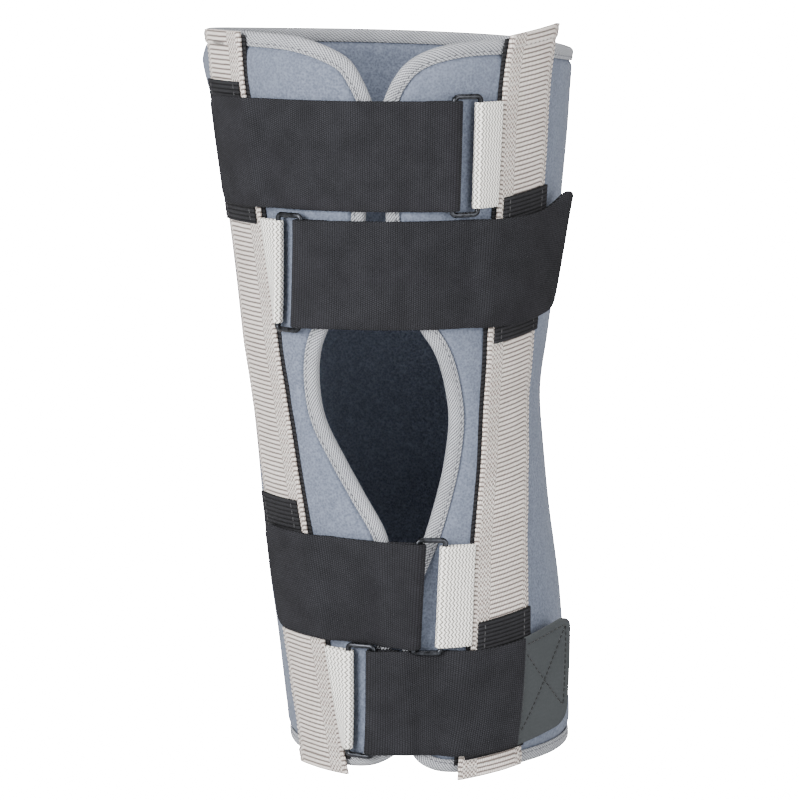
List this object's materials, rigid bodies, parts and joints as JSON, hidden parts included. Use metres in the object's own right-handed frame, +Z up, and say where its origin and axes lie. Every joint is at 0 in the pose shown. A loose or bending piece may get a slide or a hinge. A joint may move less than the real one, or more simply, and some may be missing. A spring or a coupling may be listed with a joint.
{
  "type": "knee immobilizer",
  "caption": "Wrap-round knee immobilizer: padded foam sleeve open at the front with a kneecap opening, webbing strips down its sides and wide straps through wire rings.",
  "frame": {"origin": "on the ground under the middle of the object as it stands on its lower hem", "axes": "+Z up along the leg towards the thigh, -Y towards the front of the knee, +X to the right seen from the front"},
  "size_m": [0.1782, 0.1842, 0.35],
  "materials": {
    "foam": "blue-grey brushed loop cloth over foam",
    "tape": "light grey twill binding tape",
    "webbing": "warm grey ribbed webbing",
    "keeper": "ivory herringbone webbing",
    "hook": "black ribbed hook tape",
    "strap": "charcoal loop-faced elastic",
    "wire": "dark lacquered wire"
  },
  "bodies": {
    "root": {"foam_sleeve": "foam", "edge_binding": "tape", "stay_webbing_left": "webbing", "stay_webbing_right": "webbing", "stay_backing_left": "hook", "stay_backing_right": "hook", "hook_patch_1": "hook", "hook_patch_2": "hook", "hook_patch_3": "hook", "hook_patch_4": "hook", "ring_keeper_1": "keeper", "ring_keeper_2": "keeper", "ring_keeper_3": "keeper", "ring_keeper_4": "keeper", "wire_ring_1": "wire", "wire_ring_2": "wire", "wire_ring_3": "wire", "wire_ring_4": "wire", "strap_1": "strap", "strap_2": "strap", "strap_3": "strap", "strap_4": "strap", "end_tab_1": "strap", "end_tab_2": "strap", "end_tab_3": "strap", "end_tab_4": "strap"}
  },
  "joints": []
}
